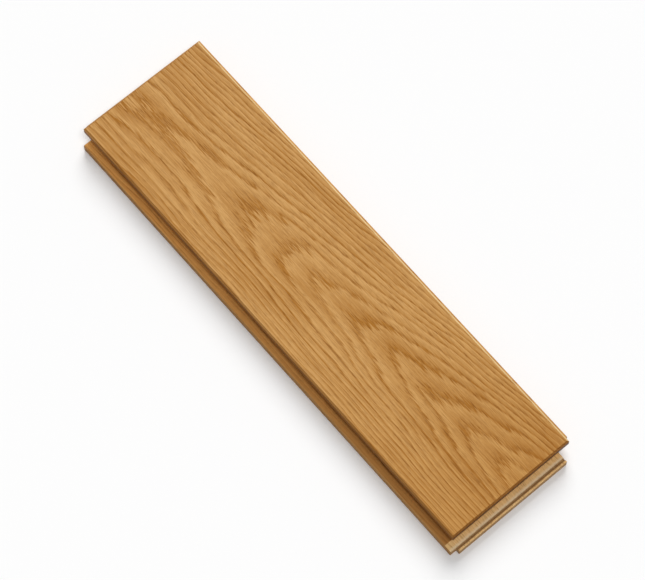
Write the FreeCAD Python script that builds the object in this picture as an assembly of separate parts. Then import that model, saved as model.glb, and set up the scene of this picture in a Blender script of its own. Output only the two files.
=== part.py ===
"""One herringbone parquet block of oak, moulded on all four edges.

Frame: millimetres, +Z up. The origin is on the underside, below the centre of the face that shows in a
laid floor. +X runs along the block and +Y across it.

The lip edges (-Y side and +X end) have an upper lip, a groove and a longer lower lip. The side's lower lip is
plain, and the end's has a channel inside its outer ridge. The tongue edges (+Y side and -X end) have a tongue over
a rebate: the end's rebate clears a side lip, and the side's clears an end lip, which reaches further.
"""
import FreeCAD, Part
import math
import os

# Face that shows in a laid floor, and the whole thickness
face_length = 300.0
face_width = 80.0
thickness = 15.0

# Small bevel round the top face, which makes the V-joint between blocks
top_bevel = 0.9

# Lip edge, from the top down
upper_lip_thickness = 5.0
groove_height = 4.6
groove_depth = 3.5

# Lower lips, from the top face's edge outwards
side_lip_reach = 4.0
end_shelf_reach = 3.2
channel_width = 1.3
channel_depth = 1.2
ridge_width = 1.2

# Room between a tongue edge and the lip edge that it meets
fit_gap = 0.15
nose_gap = 1.2

# Rounded corners of the two profiles
lip_corner_radius = 0.3
tongue_nose_radius = 1.3

# How far the moulded bars run past the face before they are crossed to make the block
bar_overrun = 10.0

# Levels and reaches that follow
groove_top = thickness - upper_lip_thickness
shelf_level = groove_top - groove_height
channel_floor = shelf_level - channel_depth
channel_end = end_shelf_reach + channel_width
end_lip_reach = channel_end + ridge_width
tongue_reach = groove_depth - nose_gap
side_rebate_depth = end_lip_reach + fit_gap
end_rebate_depth = side_lip_reach + fit_gap
rebate_top = shelf_level + fit_gap


def lip_edge(lower_lip):
    """Corners of a lip profile, top to bottom, as (out from the face's edge, height, corner radius)."""
    return [
        (-top_bevel, thickness, 0.0),
        (0.0, thickness - top_bevel, 0.0),
        (0.0, groove_top, 0.0),
        (-groove_depth, groove_top, 0.0),
        (-groove_depth, shelf_level, 0.0),
        *lower_lip,
    ]


def side_lip():
    """Outer corners of the plain lower lip along the side."""
    return [
        (side_lip_reach, shelf_level, lip_corner_radius),
        (side_lip_reach, 0.0, 0.0),
    ]


def end_lip():
    """Outer corners of the lower lip across the end, with its channel and ridge."""
    return [
        (end_shelf_reach, shelf_level, lip_corner_radius),
        (end_shelf_reach, channel_floor, lip_corner_radius),
        (channel_end, channel_floor, lip_corner_radius),
        (channel_end, shelf_level, lip_corner_radius),
        (end_lip_reach, shelf_level, lip_corner_radius),
        (end_lip_reach, 0.0, 0.0),
    ]


def tongue_edge(rebate_depth):
    """Corners of a tongue profile over a rebate of that depth, in the same order and form."""
    return [
        (-top_bevel, thickness, 0.0),
        (0.0, thickness - top_bevel, 0.0),
        (0.0, groove_top - fit_gap, 0.0),
        (tongue_reach, groove_top - fit_gap, tongue_nose_radius),
        (tongue_reach, rebate_top, tongue_nose_radius),
        (-rebate_depth, rebate_top, 0.0),
        (-rebate_depth, 0.0, 0.0),
    ]


def rounded_wire(corners):
    """Closed wire through (point, radius) corners, each turned by an arc of its radius."""
    edges = []
    arc_ends = []
    count = len(corners)
    for index in range(count):
        point, radius = corners[index]
        to_before = (corners[index - 1][0] - point).normalize()
        to_after = (corners[(index + 1) % count][0] - point).normalize()
        half_angle = to_before.getAngle(to_after) / 2
        cut = radius / math.tan(half_angle)
        arc_in = point + to_before * cut
        arc_out = point + to_after * cut
        if radius > 0:
            inward = (to_before + to_after).normalize()
            middle = point + inward * (radius / math.sin(half_angle) - radius)
            edges.append(Part.Arc(arc_in, middle, arc_out).toShape())
        arc_ends.append((arc_in, arc_out))
    for index in range(count):
        edges.append(Part.makeLine(arc_ends[index - 1][1], arc_ends[index][0]))
    return Part.Wire(Part.__sortEdges__(edges))


def section(half_span, low_edge, high_edge, place):
    """Face of a moulded section: low_edge on the minus side and high_edge on the plus side of the span."""
    corners = []
    for out, height, radius in high_edge:
        corners.append((place(half_span + out, height), radius))
    for out, height, radius in reversed(low_edge):
        corners.append((place(-half_span - out, height), radius))
    return Part.Face(rounded_wire(corners))


def moulded_along():
    """Bar with the two long sides' profiles, longer than the block."""
    reach = face_length / 2 + bar_overrun

    def place(across, height):
        return FreeCAD.Vector(-reach, across, height)

    profile = section(face_width / 2, lip_edge(side_lip()), tongue_edge(side_rebate_depth), place)
    return profile.extrude(FreeCAD.Vector(2 * reach, 0, 0))


def moulded_across():
    """Bar with the two ends' profiles, wider than the block."""
    reach = face_width / 2 + bar_overrun

    def place(along, height):
        return FreeCAD.Vector(along, -reach, height)

    profile = section(face_length / 2, tongue_edge(end_rebate_depth), lip_edge(end_lip()), place)
    return profile.extrude(FreeCAD.Vector(0, 2 * reach, 0))


def corner_relief():
    """Block cut from the corner between the two lips, so that the channel and its ridge stop at the face's side."""
    corner = FreeCAD.Vector(face_length / 2 + end_shelf_reach, -face_width / 2 - bar_overrun, 0)
    return Part.makeBox(bar_overrun, bar_overrun, thickness, corner)


def parquet_block():
    """The whole block: long sides and ends moulded from one piece, with the corner between its lips relieved."""
    return moulded_along().common(moulded_across()).cut(corner_relief()).removeSplitter()


os.makedirs("parts", exist_ok=True)
parquet_block().exportStep("parts/parquet_block.step")
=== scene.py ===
"""One oak parquet block in a plain studio: its moulded body, brushed face, finishes, floor, light and camera.

Lengths are in metres, in the row frame, unless a name or docstring says millimetres. The grain is worked out
in millimetres, because its sizes are easier to read that way.
"""
import logging
import math
from dataclasses import dataclass, field
from enum import Enum

import bmesh
import bpy
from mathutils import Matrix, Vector


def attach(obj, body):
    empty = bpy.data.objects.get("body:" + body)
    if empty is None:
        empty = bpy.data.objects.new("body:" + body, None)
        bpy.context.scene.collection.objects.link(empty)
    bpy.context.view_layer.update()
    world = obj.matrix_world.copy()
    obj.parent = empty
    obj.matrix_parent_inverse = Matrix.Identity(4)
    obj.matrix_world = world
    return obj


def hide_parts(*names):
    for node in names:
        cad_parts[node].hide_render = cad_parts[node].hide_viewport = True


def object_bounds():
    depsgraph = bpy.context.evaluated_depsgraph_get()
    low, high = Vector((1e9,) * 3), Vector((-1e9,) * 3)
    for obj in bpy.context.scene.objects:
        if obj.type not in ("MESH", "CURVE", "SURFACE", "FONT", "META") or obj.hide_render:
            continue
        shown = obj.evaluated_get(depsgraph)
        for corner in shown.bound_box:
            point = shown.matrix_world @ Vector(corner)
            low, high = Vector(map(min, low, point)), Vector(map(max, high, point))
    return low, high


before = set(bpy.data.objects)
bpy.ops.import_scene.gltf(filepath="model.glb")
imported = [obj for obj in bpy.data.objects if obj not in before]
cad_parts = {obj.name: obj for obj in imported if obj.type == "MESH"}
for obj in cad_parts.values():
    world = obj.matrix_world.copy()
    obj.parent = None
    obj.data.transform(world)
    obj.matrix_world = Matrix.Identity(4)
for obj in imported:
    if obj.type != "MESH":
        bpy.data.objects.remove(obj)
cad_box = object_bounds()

Socket = bpy.types.NodeSocket
Sockets = dict[str, str]
Feed = Socket | float | tuple[float, ...]
Feeds = dict[int | str, Feed]
Span = tuple[float, float]
Colour = tuple[float, float, float, float]

MM = 0.001
TO_MM = (1 / MM, 1 / MM, 1 / MM)
WHITE: Colour = (1.0, 1.0, 1.0, 1.0)
UNIT: Span = (0.0, 1.0)
FALLING: Span = (1.0, 0.0)

# Corner lines in millimetres, from the block's middle and its underside
FACE_END = 150.0
FACE_SIDE = 40.0
FACE_ARRIS = 14.3
BEVEL_ARRIS = 14.1
LIP_SIDE = 44.0
LIP_TOP = 5.4
UNDERSIDE = 0.0
TONGUE_END = 152.3
TONGUE_MIDDLE = 7.7
# Lines of the painted highlight on the lip end's ledge and of the painted shade in its channel
LEDGE_HIGHLIGHT = 152.6
CHANNEL_MIDDLE = 153.85
CHANNEL_SHADE = 4.4

# A corner line that the block doesn't reach
FAR = 1000.0

# How every noise is made, and made to swing
NOISE_MIDDLE = 0.5
NOISE_SWING = 3.0
NOISE_ROUGHNESS = 0.55

# Numbers of the Mix node's colour sockets
MIX_FIRST = 6
MIX_SECOND = 7
MIX_RESULT = 2

# What the oak's growth puts out
GROWTH_MARKS = (
    "Earlywood", "Latewood", "False Rings", "Long Pores", "Fine Pores",
    "Fibre", "Flecks", "Tone", "Heart", "Along",
)

log = logging.getLogger("parquet_block")


class TreeKind(Enum):
    """The two kinds of node tree that the oak's growth is drawn in."""

    SHADER = "ShaderNodeTree"
    GEOMETRY = "GeometryNodeTree"


class Cut(Enum):
    """A kind of surface on the block. The value is its place among the block's material slots."""

    FACE = 0
    SIDE = 1
    END = 2
    BACK = 3
    RIM = 4
    LEDGE = 5
    BEVEL = 6
    PALE_BEVEL = 7
    END_RIM = 8
    LIP = 9


@dataclass(frozen=True)
class Streaks:
    """A noise stretched along the grain: its marks' size in millimetres, its octaves and a shift."""

    along: float
    across: float
    octaves: float = 1.0
    shift: float = 0.0


class NodeSketch:
    """A node tree in the making. Each method adds what it names and hands back the output."""

    def __init__(self, tree: bpy.types.NodeTree) -> None:
        """Keeps the tree that the nodes go into."""
        self.tree = tree

    def add(self, kind: str, feeds: Feeds | None = None, **settings: object) -> bpy.types.Node:
        """Adds one node.

        Args:
            kind: Blender's name for the node's type.
            feeds: Values or sockets by input name or number.
            **settings: Properties of the node itself.

        Returns:
            The new node.
        """
        node = self.tree.nodes.new(kind)
        for name, value in settings.items():
            setattr(node, name, value)
        for name, feed in (feeds or {}).items():
            if isinstance(feed, Socket):
                self.tree.links.new(feed, node.inputs[name])
            else:
                node.inputs[name].default_value = feed
        return node

    def calc(self, operation: str, *feeds: Feed) -> Socket:
        """Adds a Math node over the given values."""
        return self.add("ShaderNodeMath", dict(enumerate(feeds)), operation=operation).outputs[0]

    def ramp(self, value: Feed, limits: Span, results: Span = UNIT) -> Socket:
        """Turns a value smoothly from one result to another.

        Args:
            value: What is turned.
            limits: Values at which the turn begins and is done.
            results: Result up to the first limit, and from the second on.

        Returns:
            The turned value.
        """
        names = ("From Min", "From Max", "To Min", "To Max")
        feeds = {"Value": value, **dict(zip(names, (*limits, *results)))}
        return self.add("ShaderNodeMapRange", feeds, interpolation_type="SMOOTHSTEP").outputs[0]

    def band(self, value: Feed, rise: Span, fall: Span) -> Socket:
        """A mask that rises over one stretch of a value and falls over another."""
        return self.calc("MULTIPLY", self.ramp(value, rise), self.ramp(value, fall, FALLING))

    def split(self, place: Socket) -> list[Socket]:
        """The three parts of a vector."""
        return list(self.add("ShaderNodeSeparateXYZ", {0: place}).outputs)

    def scaled(self, place: Socket, scale: tuple[float, float, float]) -> Socket:
        """A vector with each part multiplied."""
        return self.add("ShaderNodeVectorMath", {0: place, 1: scale}, operation="MULTIPLY").outputs[0]

    def noise(self, place: Socket, streaks: Streaks) -> Socket:
        """Adds a noise that is stretched along the grain.

        Args:
            place: Position in millimetres.
            streaks: The noise's sizes.

        Returns:
            The noise, from 0 to 1.
        """
        stretched = self.scaled(place, (1 / streaks.along, 1 / streaks.across, 1 / streaks.across))
        shift = (streaks.shift, streaks.shift, streaks.shift)
        moved = self.add("ShaderNodeVectorMath", {0: stretched, 1: shift}, operation="ADD").outputs[0]
        feeds = {"Vector": moved, "Scale": 1.0, "Detail": streaks.octaves, "Roughness": NOISE_ROUGHNESS}
        return self.add("ShaderNodeTexNoise", feeds).outputs[0]

    def sway(self, noise: Socket, reach: float) -> Socket:
        """Noise made to swing to both sides of zero, up to about reach."""
        return self.calc("MULTIPLY", self.calc("SUBTRACT", noise, NOISE_MIDDLE), NOISE_SWING * reach)

    def mix(self, share: Feed, first: Feed, second: Feed, blend: str = "MIX") -> Socket:
        """Mixes two colours by a share."""
        feeds = {0: share, MIX_FIRST: first, MIX_SECOND: second}
        return self.add("ShaderNodeMix", feeds, data_type="RGBA", blend_type=blend).outputs[MIX_RESULT]

    def group(self, tree: bpy.types.NodeTree, feeds: Feeds) -> bpy.types.NodeOutputs:
        """Places a node group, which may be of either kind of tree."""
        kind = "GeometryNodeGroup" if self.tree.bl_idname == TreeKind.GEOMETRY.value else "ShaderNodeGroup"
        return self.add(kind, feeds, node_tree=tree).outputs


def new_group(name: str, kind: TreeKind, inputs: Sockets, outputs: Sockets) -> bpy.types.NodeTree:
    """Makes an empty node group with its sockets.

    Args:
        name: Name of the group.
        kind: Shader or geometry tree.
        inputs: Socket kind, such as Float or Vector, by input name.
        outputs: Socket kind by output name.

    Returns:
        The group's node tree.
    """
    tree = bpy.data.node_groups.new(name, kind.value)
    for side, sockets in (("INPUT", inputs), ("OUTPUT", outputs)):
        for socket, shape in sockets.items():
            tree.interface.new_socket(socket, in_out=side, socket_type="NodeSocket" + shape)
    return tree


def new_material(name: str) -> tuple[bpy.types.Material, NodeSketch]:
    """Makes a material without nodes.

    Args:
        name: Name of the material.

    Returns:
        The material, and the sketch that its nodes go into.
    """
    material = bpy.data.materials.new(name)
    material.use_nodes = True
    material.node_tree.nodes.clear()
    return material, NodeSketch(material.node_tree)


def put_up(name: str, data: bpy.types.ID) -> bpy.types.Object:
    """Puts a new object into the scene.

    Args:
        name: Name of the object.
        data: Its mesh, light or camera.

    Returns:
        The object.
    """
    thing = bpy.data.objects.new(name, data)
    bpy.context.scene.collection.objects.link(thing)
    return thing


@dataclass(frozen=True)
class OakGrowth:
    """How the oak grew: rings about a pith that lies below the block and nears its face towards one end.

    All sizes are in millimetres. A flat-sawn face then shows arches that open towards that end.
    """

    face_height: float = cad_box[1].z / MM
    pith_depth: float = 54.0
    pith_rise: float = 12.0
    rise_start: float = -110.0
    rise_length: float = 250.0
    rise_power: float = 1.3
    pith_side: float = -1.1
    pith_drift: float = 0.062
    wander: float = 1.6
    wander_noise: Streaks = Streaks(90.0, 34.0)
    swell: float = 0.7
    swell_noise: Streaks = Streaks(60.0, 14.0, shift=3.7)
    streak: float = 0.3
    streak_noise: Streaks = Streaks(26.0, 2.6, shift=8.1)
    jag: float = 0.42
    jag_noise: Streaks = Streaks(8.0, 0.45, shift=5.3)
    calm_side: float = 26.0
    calm_share: float = 0.3
    ring_width: float = 1.5
    weakest_ring: float = 0.55
    early_rise: Span = (0.0, 0.1)
    early_fall: Span = (0.14, 0.46)
    late_rise: Span = (0.6, 0.86)
    late_fall: Span = (0.9, 1.0)
    false_rings: float = 3.0
    false_rise: Span = (0.0, 0.2)
    false_fall: Span = (0.3, 0.75)
    false_noise: Streaks = Streaks(70.0, 6.0, shift=2.2)
    false_limits: Span = (0.35, 0.65)
    pores_between: float = 0.4
    pore_limits: Span = (0.55, 0.66)
    long_pore_noise: Streaks = Streaks(9.0, 0.4, shift=1.9)
    fine_pore_noise: Streaks = Streaks(5.0, 0.28, shift=6.4)
    fibre_noise: Streaks = Streaks(34.0, 0.55, octaves=3.0, shift=2.6)
    fleck_noise: Streaks = Streaks(16.0, 1.1, shift=9.2)
    fleck_limits: Span = (0.68, 0.8)
    tone_noise: Streaks = Streaks(90.0, 12.0, octaves=2.0, shift=12.9)
    heart_limits: Span = (42.0, 54.0)

    def radius(self, sketch: NodeSketch, place: Socket) -> Socket:
        """Draws the distance from the wandering pith.

        Args:
            sketch: The tree that it is drawn in.
            place: Position in millimetres.

        Returns:
            The distance, uneven as grown wood is.
        """
        along, across, height = sketch.split(place)
        run = sketch.calc("DIVIDE", sketch.calc("SUBTRACT", along, self.rise_start), self.rise_length)
        rise = sketch.calc("POWER", sketch.calc("MAXIMUM", run, 0.0), self.rise_power)
        depth = sketch.calc("MULTIPLY_ADD", rise, -self.pith_rise, self.pith_depth - self.face_height)
        pith_line = sketch.calc("MULTIPLY_ADD", along, self.pith_drift, self.pith_side)
        swing = sketch.sway(sketch.noise(place, self.wander_noise), self.wander)
        sideways = sketch.calc("ADD", sketch.calc("SUBTRACT", across, pith_line), swing)
        upward = sketch.calc("ADD", height, depth)
        square = sketch.calc("MULTIPLY_ADD", upward, upward, sketch.calc("MULTIPLY", sideways, sideways))
        round_rings = sketch.calc("SQRT", square)
        swells = sketch.sway(sketch.noise(place, self.swell_noise), self.swell)
        streaks = sketch.sway(sketch.noise(place, self.streak_noise), self.streak)
        jags = sketch.sway(sketch.noise(place, self.jag_noise), self.jag)
        from_heart = sketch.calc("ABSOLUTE", sideways)
        ragged = sketch.ramp(from_heart, (0.0, self.calm_side), (1.0, self.calm_share))
        fine = sketch.calc("ADD", streaks, sketch.calc("MULTIPLY", jags, ragged))
        return sketch.calc("ADD", sketch.calc("ADD", round_rings, swells), fine)

    def draw(self, kind: TreeKind) -> bpy.types.NodeTree:
        """Draws the growth as a node group, the same for shaders and for geometry.

        Args:
            kind: Shader or geometry tree.

        Returns:
            A group from a position in millimetres to the marks of the wood.
        """
        tree = new_group("oak_growth", kind, {"Place": "Vector"}, dict.fromkeys(GROWTH_MARKS, "Float"))
        sketch = NodeSketch(tree)
        place = sketch.add("NodeGroupInput").outputs["Place"]
        radius = self.radius(sketch, place)
        rings = sketch.calc("DIVIDE", radius, self.ring_width)
        in_ring = sketch.calc("FRACT", rings)
        number = sketch.calc("FLOOR", rings)
        chance = sketch.add("ShaderNodeTexWhiteNoise", {"W": number}, noise_dimensions="1D").outputs["Value"]
        strength = sketch.ramp(chance, UNIT, (self.weakest_ring, 1.0))
        early = sketch.calc("MULTIPLY", sketch.band(in_ring, self.early_rise, self.early_fall), strength)
        in_false = sketch.calc("FRACT", sketch.calc("MULTIPLY", rings, self.false_rings))
        false_line = sketch.band(in_false, self.false_rise, self.false_fall)
        false_patch = sketch.ramp(sketch.noise(place, self.false_noise), self.false_limits)
        near_early = sketch.calc("MULTIPLY_ADD", early, 1.0 - self.pores_between, self.pores_between)
        long_pores = sketch.ramp(sketch.noise(place, self.long_pore_noise), self.pore_limits)
        fine_pores = sketch.ramp(sketch.noise(place, self.fine_pore_noise), self.pore_limits)
        drawn = {
            "Earlywood": early,
            "Latewood": sketch.band(in_ring, self.late_rise, self.late_fall),
            "False Rings": sketch.calc("MULTIPLY", false_line, false_patch),
            "Long Pores": sketch.calc("MULTIPLY", long_pores, near_early),
            "Fine Pores": sketch.calc("MULTIPLY", fine_pores, near_early),
            "Fibre": sketch.noise(place, self.fibre_noise),
            "Flecks": sketch.ramp(sketch.noise(place, self.fleck_noise), self.fleck_limits),
            "Tone": sketch.noise(place, self.tone_noise),
            "Heart": sketch.ramp(radius, self.heart_limits, FALLING),
            "Along": sketch.split(place)[0],
        }
        sketch.add("NodeGroupOutput", drawn)
        return tree


@dataclass(frozen=True)
class CutterMarks:
    """The fine waves that a moulder or planer head leaves, in millimetres."""

    pitch: float = 1.3
    slant: float = 0.12
    shake_noise: Streaks = Streaks(11.0, 30.0)

    def draw(self) -> bpy.types.NodeTree:
        """Draws the waves as a node group.

        Returns:
            A group from a position to the height of the waves, from 0 to 1.
        """
        inputs = {"Place": "Vector", "Unevenness": "Float"}
        tree = new_group("cutter_marks", TreeKind.SHADER, inputs, {"Height": "Float"})
        sketch = NodeSketch(tree)
        given = sketch.add("NodeGroupInput").outputs
        along, across, height = sketch.split(given["Place"])
        feed = sketch.calc("MULTIPLY_ADD", sketch.calc("ADD", across, height), self.slant, along)
        shake = sketch.calc("MULTIPLY", sketch.noise(given["Place"], self.shake_noise), given["Unevenness"])
        turns = sketch.calc("MULTIPLY", sketch.calc("ADD", feed, shake), math.tau / self.pitch)
        wave = sketch.calc("MULTIPLY_ADD", sketch.calc("SINE", turns), 0.5, 0.5)
        sketch.add("NodeGroupOutput", {"Height": wave})
        return tree


@dataclass(frozen=True)
class CornerMask:
    """A ragged mask along a corner: for pale arrises, worn on most finishes and a painted highlight on some,
    and for a crevice darkened as painted shade.
    """

    least: float = 0.3
    most: float = 1.7
    patch_noise: Streaks = Streaks(6.0, 1.6, octaves=2.0, shift=7.7)

    def draw(self) -> bpy.types.NodeTree:
        """Draws the mask as a node group, in millimetres.

        Returns:
            A group from a position, the corner lines' places and a width to a mask that is 1 on those lines.
        """
        lines = dict.fromkeys(("End Line", "Side Line", "Height Line", "Width"), "Float")
        tree = new_group("corner_mask", TreeKind.SHADER, {"Place": "Vector", **lines}, {"Mask": "Float"})
        sketch = NodeSketch(tree)
        given = sketch.add("NodeGroupInput").outputs
        along, across, height = sketch.split(given["Place"])
        past_end = sketch.calc("SUBTRACT", sketch.calc("ABSOLUTE", along), given["End Line"])
        past_side = sketch.calc("SUBTRACT", sketch.calc("ABSOLUTE", across), given["Side Line"])
        level = sketch.calc("MINIMUM", sketch.calc("ABSOLUTE", past_end), sketch.calc("ABSOLUTE", past_side))
        above = sketch.calc("SUBTRACT", height, given["Height Line"])
        square = sketch.calc("MULTIPLY_ADD", level, level, sketch.calc("MULTIPLY", above, above))
        patches = sketch.noise(given["Place"], self.patch_noise)
        ragged = sketch.calc("MULTIPLY_ADD", patches, self.most - self.least, self.least)
        reach = sketch.calc("MULTIPLY", ragged, given["Width"])
        away = sketch.calc("DIVIDE", sketch.calc("SQRT", square), reach)
        mask = sketch.calc("SUBTRACT", 1.0, sketch.calc("MINIMUM", away, 1.0))
        sketch.add("NodeGroupOutput", {"Mask": mask})
        return tree


@dataclass(frozen=True)
class Effects:
    """The node groups that the oak materials share."""

    growth: bpy.types.NodeTree
    cutter: bpy.types.NodeTree
    corner: bpy.types.NodeTree


@dataclass(frozen=True)
class CornerLine:
    """A marked corner: its lines and the mark's width in millimetres, and the mark's colour and strength."""

    end: float
    side: float
    height: float
    width: float
    colour: Colour
    strength: float

    def mask(self, sketch: NodeSketch, effects: Effects, place: Socket) -> Socket:
        """Places the corner mask on this corner.

        Args:
            sketch: The material's tree.
            effects: The shared node groups.
            place: Position in millimetres.

        Returns:
            The mask, which is 1 on the corner.
        """
        feeds = {
            "Place": place,
            "End Line": self.end,
            "Side Line": self.side,
            "Height Line": self.height,
            "Width": self.width,
        }
        return sketch.group(effects.corner, feeds)["Mask"]

    def marked(self, sketch: NodeSketch, mask: Socket, colour: Socket) -> Socket:
        """The wood's colour with the mark on it."""
        return sketch.mix(sketch.calc("MULTIPLY", mask, self.strength), colour, self.colour)


@dataclass(frozen=True)
class PaintedEndShade:
    """Painted shade: the wood's colour deepened towards the lip end, reached between two places along it in
    millimetres.
    """

    places: Span
    tint: Colour


@dataclass(frozen=True)
class GrainShares:
    """How far each mark takes the colour from light to dark. Rings also go by the finish's contrast."""

    ground: float = 0.33
    latewood: float = -0.5
    false_rings: float = 0.35
    heart: float = 0.07
    flecks: float = 0.2
    fibre: float = 0.4
    tone: float = 0.32


@dataclass(frozen=True)
class OakFinish:
    """One finish of the oak: its colours, gloss and the depth of its marks."""

    name: str
    light: Colour
    dark: Colour
    pore: Colour
    gloss: Span
    relief: float
    cutter_share: float = 0.2
    contrast: float = 0.5
    pore_share: float = 0.4
    # Pale corners: wear on most finishes, a painted highlight on the pale bevel and the ledge. The crevice is
    # painted shade
    wear_and_highlight: CornerLine | None = None
    crevice_shade: CornerLine | None = None
    painted_end_shade: PaintedEndShade | None = None
    shares: GrainShares = GrainShares()
    shine: float = 0.15
    coat: float = 0.0
    coat_roughness: float = 0.4
    fibre_dullness: float = 0.5
    fibre_height: float = 0.5
    pore_sink: float = 0.7
    cutter_unevenness: float = 2.0

    def material(self, effects: Effects) -> bpy.types.Material:
        """Builds the finish as a material.

        Args:
            effects: The shared node groups.

        Returns:
            The finished material.
        """
        material, sketch = new_material(self.name)
        place = sketch.scaled(sketch.add("ShaderNodeTexCoord").outputs["Object"], TO_MM)
        wood = sketch.group(effects.growth, {"Place": place})
        pores = sketch.calc("MAXIMUM", wood["Long Pores"], wood["Fine Pores"])
        colour = self.colour(sketch, wood, pores)
        dull = pores
        # Pale corner: wear on most finishes, a painted highlight on the pale bevel and the ledge
        if self.wear_and_highlight:
            wear_and_highlight = self.wear_and_highlight.mask(sketch, effects, place)
            colour = self.wear_and_highlight.marked(sketch, wear_and_highlight, colour)
            dull = sketch.calc("MAXIMUM", pores, wear_and_highlight)
        # Painted shade in the crevice
        if self.crevice_shade:
            colour = self.crevice_shade.marked(sketch, self.crevice_shade.mask(sketch, effects, place), colour)
        waves = sketch.group(effects.cutter, {"Place": place, "Unevenness": self.cutter_unevenness})["Height"]
        feeds = {
            "Base Color": colour,
            "Roughness": self.roughness(sketch, wood, dull),
            "Normal": self.bump(sketch, wood, waves),
            "Specular IOR Level": self.shine,
            "Coat Weight": self.coat,
            "Coat Roughness": self.coat_roughness,
        }
        shader = sketch.add("ShaderNodeBsdfPrincipled", feeds)
        sketch.add("ShaderNodeOutputMaterial", {"Surface": shader.outputs[0]})
        return material

    def colour(self, sketch: NodeSketch, wood: bpy.types.NodeOutputs, pores: Socket) -> Socket:
        """Draws the wood's colour, with its rings, fibres and pores.

        Args:
            sketch: The material's tree.
            wood: The marks of the wood.
            pores: Mask of the pores.

        Returns:
            The colour.
        """
        weights = {
            "Latewood": self.shares.latewood * self.contrast,
            "False Rings": self.shares.false_rings * self.contrast,
            "Heart": self.shares.heart,
            "Flecks": self.shares.flecks,
        }
        grain = sketch.calc("MULTIPLY_ADD", wood["Earlywood"], self.contrast, self.shares.ground)
        for mark, weight in weights.items():
            grain = sketch.calc("MULTIPLY_ADD", wood[mark], weight, grain)
        for mark, reach in (("Fibre", self.shares.fibre), ("Tone", self.shares.tone)):
            grain = sketch.calc("ADD", grain, sketch.sway(wood[mark], reach))
        base = sketch.mix(grain, self.light, self.dark)
        # Painted shade, deeper towards the lip end
        if self.painted_end_shade:
            end_shade_share = sketch.ramp(wood["Along"], self.painted_end_shade.places)
            base = sketch.mix(end_shade_share, base, self.painted_end_shade.tint, "MULTIPLY")
        return sketch.mix(sketch.calc("MULTIPLY", pores, self.pore_share), base, self.pore)

    def roughness(self, sketch: NodeSketch, wood: bpy.types.NodeOutputs, dull: Socket) -> Socket:
        """Draws the roughness: duller in the pores and along the pale corners, both the worn ones and the
        painted highlights.

        Args:
            sketch: The material's tree.
            wood: The marks of the wood.
            dull: Mask of the pores and of the pale corners, both the worn ones and the painted highlights.

        Returns:
            The roughness.
        """
        fibre = sketch.calc("SUBTRACT", wood["Fibre"], NOISE_MIDDLE)
        mixed = sketch.calc("MULTIPLY_ADD", fibre, self.fibre_dullness, dull)
        return sketch.ramp(mixed, UNIT, self.gloss)

    def bump(self, sketch: NodeSketch, wood: bpy.types.NodeOutputs, waves: Socket) -> Socket:
        """Draws the fine relief that is smaller than the mesh: pores, fibres and cutter waves.

        Args:
            sketch: The material's tree.
            wood: The marks of the wood.
            waves: Height of the cutter waves.

        Returns:
            The normal.
        """
        fibre = sketch.calc("MULTIPLY", wood["Fibre"], self.fibre_height)
        sunk = sketch.calc("MULTIPLY_ADD", wood["Fine Pores"], -self.pore_sink, fibre)
        height = sketch.calc("MULTIPLY_ADD", waves, self.cutter_share, sunk)
        feeds = {"Height": height, "Strength": 1.0, "Distance": self.relief}
        return sketch.add("ShaderNodeBump", feeds).outputs[0]


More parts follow.
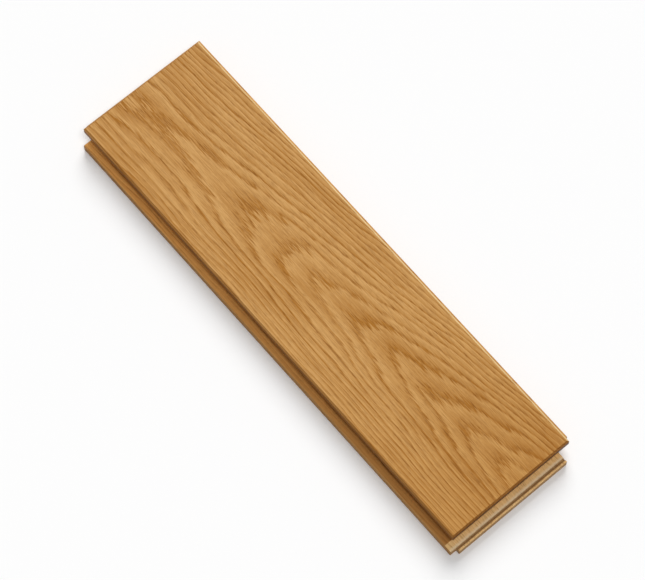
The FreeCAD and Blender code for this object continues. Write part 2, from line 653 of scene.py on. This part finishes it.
def oak_finishes() -> dict[Cut, OakFinish]:
    """Lists the finish of each cut: oiled on the face and about it, bare where it was moulded and planed. The
    bevels, rims, lower lip, ledge and the face's lip end also carry painted highlight and painted shade.

    Returns:
        The finishes by cut.
    """
    return {
        Cut.FACE: OakFinish(
            name="oiled_oak_face",
            light=(0.63, 0.346, 0.113, 1),
            dark=(0.375, 0.146, 0.011, 1),
            pore=(0.21, 0.072, 0.006, 1),
            gloss=(0.42, 0.66),
            relief=0.03 * MM,
            cutter_share=0.0,
            contrast=0.54,
            pore_share=0.75,
            wear_and_highlight=CornerLine(
                FACE_END, FACE_SIDE, FACE_ARRIS, width=0.9, colour=(0.64, 0.36, 0.12, 1), strength=0.3
            ),
            # Painted shade: the face darkens towards the lip end
            painted_end_shade=PaintedEndShade(places=(45.0, 160.0), tint=(0.9, 0.845, 0.71, 1)),
            coat=0.02,
        ),
        # Darker oil in the bevels, deepened further as painted shade
        Cut.BEVEL: OakFinish(
            name="oak_bevel_oil_and_painted_shade",
            light=(0.46, 0.22, 0.058, 1),
            dark=(0.29, 0.105, 0.010, 1),
            pore=(0.17, 0.06, 0.006, 1),
            gloss=(0.5, 0.75),
            relief=0.03 * MM,
            contrast=0.54,
            pore_share=0.5,
            wear_and_highlight=CornerLine(
                FACE_END, FACE_SIDE, BEVEL_ARRIS, width=0.5, colour=(0.54, 0.28, 0.085, 1), strength=0.3
            ),
        ),
        # Painted highlight: the bevel on the side towards the back light is pale, and paler still along its
        # lower edge
        Cut.PALE_BEVEL: OakFinish(
            name="oak_bevel_painted_highlight",
            light=(0.78, 0.55, 0.265, 1),
            dark=(0.63, 0.39, 0.145, 1),
            pore=(0.42, 0.22, 0.06, 1),
            gloss=(0.45, 0.7),
            relief=0.03 * MM,
            contrast=0.45,
            wear_and_highlight=CornerLine(
                FAR, FACE_SIDE, BEVEL_ARRIS, width=0.8, colour=(0.86, 0.66, 0.37, 1), strength=0.5
            ),
        ),
        # Painted shade: the walls under the face's bevels are darker than the moulded sides
        Cut.RIM: OakFinish(
            name="oak_rim_painted_shade",
            light=(0.36, 0.145, 0.027, 1),
            dark=(0.23, 0.083, 0.010, 1),
            pore=(0.16, 0.06, 0.01, 1),
            gloss=(0.55, 0.8),
            relief=0.04 * MM,
            cutter_share=0.3,
        ),
        # Painted shade, darker still on the walls at the ends
        Cut.END_RIM: OakFinish(
            name="oak_end_rim_painted_shade",
            light=(0.17, 0.062, 0.011, 1),
            dark=(0.11, 0.037, 0.005, 1),
            pore=(0.08, 0.03, 0.005, 1),
            gloss=(0.55, 0.8),
            relief=0.04 * MM,
        ),
        Cut.SIDE: OakFinish(
            name="moulded_oak_side",
            light=(0.60, 0.315, 0.094, 1),
            dark=(0.415, 0.178, 0.039, 1),
            pore=(0.21, 0.09, 0.022, 1),
            gloss=(0.62, 0.85),
            relief=0.04 * MM,
            cutter_share=0.45,
            wear_and_highlight=CornerLine(
                FAR, LIP_SIDE, LIP_TOP, width=1.6, colour=(0.66, 0.38, 0.15, 1), strength=0.4
            ),
        ),
        # Painted light and shade: the lower lip's top is brighter than the moulded sides, and is painted
        # darker towards the lip end
        Cut.LIP: OakFinish(
            name="oak_lip_painted_light_and_shade",
            light=(0.93, 0.48, 0.137, 1),
            dark=(0.65, 0.275, 0.058, 1),
            pore=(0.24, 0.10, 0.025, 1),
            gloss=(0.62, 0.85),
            relief=0.04 * MM,
            cutter_share=0.45,
            wear_and_highlight=CornerLine(
                FAR, LIP_SIDE, LIP_TOP, width=1.2, colour=(0.80, 0.47, 0.19, 1), strength=0.3
            ),
            # Painted shade, deepening towards the lip end
            painted_end_shade=PaintedEndShade(places=(-FACE_END, FACE_END), tint=(0.53, 0.47, 0.4, 1)),
        ),
        # Bare end oak, made paler still as painted light
        Cut.LEDGE: OakFinish(
            name="oak_ledge_painted_light_and_shade",
            light=(0.97, 0.64, 0.28, 1),
            dark=(0.84, 0.49, 0.185, 1),
            pore=(0.15, 0.052, 0.011, 1),
            gloss=(0.6, 0.85),
            relief=0.04 * MM,
            cutter_share=0.3,
            # Painted highlight along the ledge's outer edge
            wear_and_highlight=CornerLine(
                LEDGE_HIGHLIGHT, FAR, LIP_TOP, width=1.4, colour=(0.98, 0.76, 0.48, 1), strength=0.9
            ),
            # Painted shade in the ledge's channel
            crevice_shade=CornerLine(
                CHANNEL_MIDDLE, FAR, CHANNEL_SHADE, width=1.6, colour=(0.15, 0.052, 0.011, 1), strength=0.9
            ),
        ),
        Cut.END: OakFinish(
            name="cross_cut_oak_end",
            light=(0.66, 0.40, 0.18, 1),
            dark=(0.47, 0.245, 0.085, 1),
            pore=(0.27, 0.13, 0.045, 1),
            gloss=(0.7, 0.92),
            relief=0.05 * MM,
            wear_and_highlight=CornerLine(
                TONGUE_END, FACE_SIDE, TONGUE_MIDDLE, width=0.8, colour=(0.74, 0.48, 0.25, 1), strength=0.4
            ),
        ),
        Cut.BACK: OakFinish(
            name="planed_oak_back",
            light=(0.60, 0.40, 0.21, 1),
            dark=(0.42, 0.24, 0.10, 1),
            pore=(0.25, 0.13, 0.05, 1),
            gloss=(0.66, 0.9),
            relief=0.06 * MM,
            cutter_share=0.7,
            pore_share=0.5,
            wear_and_highlight=CornerLine(
                FAR, LIP_SIDE, UNDERSIDE, width=0.8, colour=(0.64, 0.44, 0.25, 1), strength=0.25
            ),
        ),
    }


@dataclass
class ParquetBlock:
    """The block itself: the CAD solid with eased corners and a face brushed along its grain."""

    node: str = "parquet_block"
    slot: str = "oak"
    piece_name: str = "oak_block"
    arris: float = 0.12 * MM
    arris_steps: int = 3
    arris_profile: float = 0.5
    sharp_corner: float = math.radians(50)
    smooth_limit: float = math.radians(35)
    flat_limit: float = math.radians(1)
    touching: float = 0.001 * MM
    cutting_slack: float = 0.0001 * MM
    cell_along: float = 1.25 * MM
    cell_across: float = 0.3 * MM
    ring_depth: float = 0.03 * MM
    pore_depth: float = 0.04 * MM
    top_layer: float = 0.01 * MM
    calm_border: float = 0.6 * MM
    level: float = 0.9
    leaning: float = 0.5
    bevel_foot: float = 13.95 * MM
    rim_foot: float = 9.8 * MM
    end_start: float = 144 * MM
    ledge_foot: float = 3.5 * MM
    ledge_top: float = 5.6 * MM
    ledge_ends: Span = (-150 * MM, 148.5 * MM)
    lowest_ledge: float = 1.0 * MM
    back_height: float = 0.5 * MM
    growth: OakGrowth = field(default_factory=OakGrowth)
    piece: bpy.types.Object | None = None

    def build(self) -> bpy.types.Object:
        """Builds the block's mesh and brushes its face.

        Returns:
            The new piece, which stands for the CAD node.
        """
        shell = self.shell()
        self.ease_corners(shell)
        self.lay_cells(shell)
        self.part_ledges(shell)
        self.sort_cuts(shell)
        self.smooth(shell)
        self.order_faces(shell)
        mesh = bpy.data.meshes.new(self.piece_name)
        shell.to_mesh(mesh)
        shell.free()
        self.piece = put_up(self.piece_name, mesh)
        self.brush()
        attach(self.piece, "root")
        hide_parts(self.node)
        return self.piece

    def shell(self) -> bmesh.types.BMesh:
        """Takes over the CAD solid's mesh, with each flat surface as one face.

        Returns:
            The block's mesh.
        """
        shell = bmesh.new()
        shell.from_mesh(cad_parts[self.node].data)
        bmesh.ops.remove_doubles(shell, verts=shell.verts, dist=self.touching)
        bmesh.ops.dissolve_limit(shell, angle_limit=self.flat_limit, verts=shell.verts, edges=shell.edges)
        return shell

    def ease_corners(self, shell: bmesh.types.BMesh) -> None:
        """Rounds the corners that stand out and aren't rounded in the solid.

        The corners of the flat top stay, so that it keeps four edges.

        Args:
            shell: The block's mesh.
        """
        top = self.top_of(shell)
        corners = []
        for edge in shell.edges:
            below_top = not any(vert in top.verts for vert in edge.verts)
            if below_top and edge.is_convex and edge.calc_face_angle() > self.sharp_corner:
                corners.append(edge)
        bmesh.ops.bevel(
            shell, geom=corners, offset=self.arris, offset_type="OFFSET", segments=self.arris_steps,
            profile=self.arris_profile, affect="EDGES", clamp_overlap=True,
        )

    def top_of(self, shell: bmesh.types.BMesh) -> bmesh.types.BMFace:
        """Finds the flat top of the block.

        Args:
            shell: The block's mesh.

        Returns:
            The face.
        """
        foot = max(vert.co.z for vert in shell.verts) - self.touching
        tops = [face for face in shell.faces if min(vert.co.z for vert in face.verts) > foot]
        return max(tops, key=lambda face: face.calc_area())

    @staticmethod
    def divided(edge: bmesh.types.BMEdge, axis: int, parts: int) -> list[bmesh.types.BMVert]:
        """Divides a straight edge of the top.

        Args:
            edge: The edge.
            axis: The axis that it runs along.
            parts: How many lengths it is divided into.

        Returns:
            Its corners in order along the axis.
        """
        first, last = sorted(edge.verts, key=lambda vert: vert.co[axis])
        start, end = first.co.copy(), last.co.copy()
        chain = [first]
        for part in range(1, parts):
            _, corner = bmesh.utils.edge_split(edge, chain[-1], 0.5)
            corner.co = start.lerp(end, part / parts)
            chain.append(corner)
            edge = next(link for link in corner.link_edges if last in link.verts)
        return chain + [last]

    def lay_cells(self, shell: bmesh.types.BMesh) -> None:
        """Puts a fine net of cells in place of the flat top.

        Args:
            shell: The block's mesh.
        """
        top = self.top_of(shell)
        spans = []
        for axis in (0, 1):
            places = [vert.co[axis] for vert in top.verts]
            spans.append(max(places) - min(places))
        along = round(spans[0] / self.cell_along)
        across = round(spans[1] / self.cell_across)
        long_edges = [edge for edge in top.edges if self.runs(edge) == 0]
        long_edges.sort(key=lambda edge: edge.verts[0].co.y)
        short_edges = [edge for edge in top.edges if self.runs(edge) == 1]
        short_edges.sort(key=lambda edge: edge.verts[0].co.x)
        low_row = self.divided(long_edges[0], 0, along)
        high_row = self.divided(long_edges[-1], 0, along)
        low_end = self.divided(short_edges[0], 1, across)
        high_end = self.divided(short_edges[-1], 1, across)
        bmesh.ops.delete(shell, geom=[top], context="FACES_ONLY")
        before = low_row
        for row in range(1, across + 1):
            after = high_row
            if row < across:
                pairs = zip(low_row[1:-1], high_row[1:-1])
                inner = [shell.verts.new(low.co.lerp(high.co, row / across)) for low, high in pairs]
                after = [low_end[row], *inner, high_end[row]]
            for column in range(along):
                shell.faces.new((before[column], before[column + 1], after[column + 1], after[column]))
            before = after

    @staticmethod
    def runs(edge: bmesh.types.BMEdge) -> int:
        """The axis that an edge mostly runs along: 0 for along the block, 1 for across it."""
        run = edge.verts[1].co - edge.verts[0].co
        return 0 if abs(run.x) > abs(run.y) else 1

    def part_ledges(self, shell: bmesh.types.BMesh) -> None:
        """Parts the level ledges that run round a corner, so that each end's ledge can have the end's finish.

        Args:
            shell: The block's mesh.
        """
        shell.normal_update()
        for place in self.ledge_ends:
            ledges = [face for face in shell.faces if self.is_ledge(face)]
            edges = dict.fromkeys(edge for face in ledges for edge in face.edges)
            verts = dict.fromkeys(vert for face in ledges for vert in face.verts)
            bmesh.ops.bisect_plane(
                shell, geom=[*ledges, *edges, *verts], dist=self.cutting_slack,
                plane_co=(place, 0.0, 0.0), plane_no=(1.0, 0.0, 0.0),
            )

    def is_ledge(self, face: bmesh.types.BMFace) -> bool:
        """Tells whether a face is level, lies between underside and bevel, and runs along most of the block.

        Args:
            face: A face of the block's mesh.

        Returns:
            True for a ledge.
        """
        heights = [vert.co.z for vert in face.verts]
        places = [vert.co.x for vert in face.verts]
        between = min(heights) > self.lowest_ledge and max(heights) < self.bevel_foot
        return abs(face.normal.z) > self.level and between and max(places) - min(places) > self.end_start

    def sort_cuts(self, shell: bmesh.types.BMesh) -> None:
        """Gives each face of the mesh the material slot of its cut.

        Args:
            shell: The block's mesh.
        """
        shell.normal_update()
        for face in shell.faces:
            face.material_index = self.cut_of(face).value

    def cut_of(self, face: bmesh.types.BMFace) -> Cut:
        """Tells which cut a face belongs to.

        Args:
            face: A face of the block's mesh.

        Returns:
            The cut.
        """
        normal = face.normal
        middle = face.calc_center_bounds()
        lowest = min(vert.co.z for vert in face.verts)
        if lowest > self.bevel_foot:
            return self.top_cut(normal)
        # The walls under the bevels take the rims' painted shade
        if lowest > self.rim_foot and abs(normal.z) < self.leaning:
            return Cut.END_RIM if abs(normal.x) > self.leaning else Cut.RIM
        if normal.z < -self.level and middle.z < self.back_height:
            return Cut.BACK
        # The lip end's ledge takes the ledge's painted light and shade
        if middle.x > self.ledge_ends[1] and lowest > self.ledge_foot and middle.z < self.ledge_top:
            return Cut.LEDGE
        if abs(middle.x) > self.end_start:
            return Cut.END
        # The lower lip's top takes the lip finish's painted light and shade
        return Cut.LIP if normal.z > self.level and middle.y < 0 else Cut.SIDE

    def top_cut(self, normal: Vector) -> Cut:
        """Tells the flat top from the bevels round it.

        Args:
            normal: Direction in which the surface looks.

        Returns:
            The cut. The lip end's bevel gets the same painted shade as the rim below it.
        """
        if normal.z > self.level:
            return Cut.FACE
        # The bevel towards the back light takes the painted highlight
        if normal.y > self.leaning:
            return Cut.PALE_BEVEL
        return Cut.RIM if normal.x > self.leaning else Cut.BEVEL

    def smooth(self, shell: bmesh.types.BMesh) -> None:
        """Shades the mesh smooth, apart from its corners.

        Args:
            shell: The block's mesh.
        """
        bmesh.ops.recalc_face_normals(shell, faces=shell.faces)
        for face in shell.faces:
            face.smooth = True
        for edge in shell.edges:
            edge.smooth = edge.calc_face_angle() < self.smooth_limit

    @staticmethod
    def order_faces(shell: bmesh.types.BMesh) -> None:
        """Stores the faces by their first two corners, so that every run gives the same mesh.

        Args:
            shell: The block's mesh.
        """
        shell.verts.index_update()
        count = len(shell.verts)
        shell.faces.sort(key=lambda face: face.verts[0].index * count + face.verts[1].index)

    def brush(self) -> None:
        """Sinks the earlywood and its pores below the face, as a wire brush does."""
        passed = {"Geometry": "Geometry"}
        tree = new_group("brushed_face", TreeKind.GEOMETRY, passed, passed)
        sketch = NodeSketch(tree)
        mesh_in = sketch.add("NodeGroupInput").outputs["Geometry"]
        position = sketch.add("GeometryNodeInputPosition").outputs[0]
        wood = sketch.group(self.growth.draw(TreeKind.GEOMETRY), {"Place": sketch.scaled(position, TO_MM)})
        sunk = sketch.calc("MULTIPLY", wood["Earlywood"], self.ring_depth)
        sunk = sketch.calc("MULTIPLY_ADD", wood["Long Pores"], self.pore_depth, sunk)
        along, across, height = sketch.split(position)
        foot = max(vert.co.z for vert in self.piece.data.vertices) - self.top_layer
        on_face = sketch.calc("GREATER_THAN", height, foot)
        for part, axis in ((along, 0), (across, 1)):
            reach = max(vert.co[axis] for vert in self.piece.data.vertices if vert.co.z > foot)
            inside = sketch.calc("SUBTRACT", reach, sketch.calc("ABSOLUTE", part))
            sunk = sketch.calc("MULTIPLY", sunk, sketch.ramp(inside, (0.0, self.calm_border)))
        offset = sketch.add("ShaderNodeCombineXYZ", {"Z": sketch.calc("MULTIPLY", sunk, -1.0)}).outputs[0]
        feeds = {"Geometry": mesh_in, "Selection": on_face, "Offset": offset}
        moved = sketch.add("GeometryNodeSetPosition", feeds).outputs[0]
        sketch.add("NodeGroupOutput", {"Geometry": moved})
        self.piece.modifiers.new("brushing", "NODES").node_group = tree

    def dress(self) -> None:
        """Gives every cut of the block its oak finish."""
        effects = Effects(self.growth.draw(TreeKind.SHADER), CutterMarks().draw(), CornerMask().draw())
        finishes = oak_finishes()
        for cut in Cut:
            self.piece.data.materials.append(finishes[cut].material(effects))


@dataclass(frozen=True)
class SoftLight:
    """A wide soft light, even over the whole floor."""

    name: str
    share: float
    elevation: float
    spread: float
    bearing: Span

    def hang(self) -> None:
        """Hangs the light so that it gives its share of the floor's light."""
        lamp = bpy.data.lights.new(self.name, "SUN")
        lamp.energy = self.share * math.pi / math.sin(self.elevation)
        lamp.angle = self.spread
        holder = put_up(self.name, lamp)
        level = Vector((*self.bearing, 0.0)).normalized() * math.cos(self.elevation)
        towards = level + Vector((0.0, 0.0, math.sin(self.elevation)))
        holder.location = towards
        holder.rotation_euler = towards.to_track_quat("Z", "Y").to_euler()


@dataclass
class Studio:
    """A plain pale floor under soft light from above and from behind. The shares of light add up to 1."""

    floor_radius: float = 5.0
    floor_sides: int = 96
    floor_shown: Colour = (0.985, 0.985, 0.985, 1.0)
    floor_bounce: Colour = (0.6, 0.6, 0.6, 1.0)
    sky_share: float = 0.19
    top_light: SoftLight = SoftLight(
        name="top_light",
        share=0.35,
        elevation=math.radians(73),
        spread=math.radians(26),
        bearing=(0.99, -0.12),
    )
    back_light: SoftLight = SoftLight(
        name="back_light",
        share=0.46,
        elevation=math.radians(40),
        spread=math.radians(34),
        bearing=(-0.72, 0.69),
    )

    def build(self) -> None:
        """Builds the floor, the sky and the two lights."""
        self.floor()
        self.sky()
        self.top_light.hang()
        self.back_light.hang()

    def floor(self) -> None:
        """Lays a round floor under the block, white to look at and greyer in the light it throws back."""
        disc = bmesh.new()
        bmesh.ops.create_circle(disc, cap_ends=True, radius=self.floor_radius, segments=self.floor_sides)
        mesh = bpy.data.meshes.new("floor")
        disc.to_mesh(mesh)
        disc.free()
        floor = put_up("floor", mesh)
        material, sketch = new_material("pale_floor")
        colour = sketch.mix(self.looked_at(sketch), self.floor_bounce, self.floor_shown)
        feeds = {"Base Color": colour, "Roughness": 1.0, "Specular IOR Level": 0.0}
        shader = sketch.add("ShaderNodeBsdfPrincipled", feeds)
        sketch.add("ShaderNodeOutputMaterial", {"Surface": shader.outputs[0]})
        mesh.materials.append(material)

    @staticmethod
    def looked_at(sketch: NodeSketch) -> Socket:
        """Draws a mask that is 1 for what the camera sees, also in a reflection or through glass.

        Args:
            sketch: The tree of the floor's material or of the world.

        Returns:
            The mask.
        """
        path = sketch.add("ShaderNodeLightPath").outputs
        seen = sketch.calc("MAXIMUM", path["Is Camera Ray"], path["Is Glossy Ray"])
        return sketch.calc("MAXIMUM", seen, path["Is Transmission Ray"])

    def sky(self) -> None:
        """Lights the scene evenly from all round, and shows white where the camera sees past the floor."""
        world = bpy.data.worlds.new("studio")
        bpy.context.scene.world = world
        world.use_nodes = True
        world.node_tree.nodes.clear()
        sketch = NodeSketch(world.node_tree)
        light = sketch.add("ShaderNodeBackground", {"Color": WHITE, "Strength": self.sky_share})
        shown = sketch.add("ShaderNodeBackground", {"Color": WHITE, "Strength": 1.0})
        feeds = {0: self.looked_at(sketch), 1: light.outputs[0], 2: shown.outputs[0]}
        mixed = sketch.add("ShaderNodeMixShader", feeds)
        sketch.add("ShaderNodeOutputWorld", {"Surface": mixed.outputs[0]})


@dataclass(frozen=True)
class PhotoView:
    """The camera, at the photograph's viewing angle on the block. The lens is in millimetres."""

    azimuth: float = math.radians(49.5)
    elevation: float = math.radians(69)
    distance: float = 1.6
    lens: float = 169.0

    def build(self) -> None:
        """Puts up the camera, aimed at the middle of the block's box."""
        camera = put_up("camera", bpy.data.cameras.new("camera"))
        camera.data.lens = self.lens
        level = math.cos(self.elevation)
        right = math.sin(self.azimuth) * level
        front = math.cos(self.azimuth) * level
        back = Vector((right, -front, math.sin(self.elevation)))
        camera.location = (cad_box[0] + cad_box[1]) / 2 + back * self.distance
        camera.rotation_euler = back.to_track_quat("Z", "Y").to_euler()
        bpy.context.scene.camera = camera


def main() -> None:
    """Builds the camera, the studio and the block, and reports each piece."""
    logging.basicConfig(level=logging.INFO, format="%(message)s")
    bpy.context.scene.view_settings.view_transform = "Standard"
    PhotoView().build()
    log.info("camera up")
    Studio().build()
    log.info("floor and light up")
    block = ParquetBlock()
    piece = block.build()
    block.dress()
    log.info("%s: %d faces, %d finishes", piece.name, len(piece.data.polygons), len(piece.data.materials))


if __name__ == "__main__":
    main()
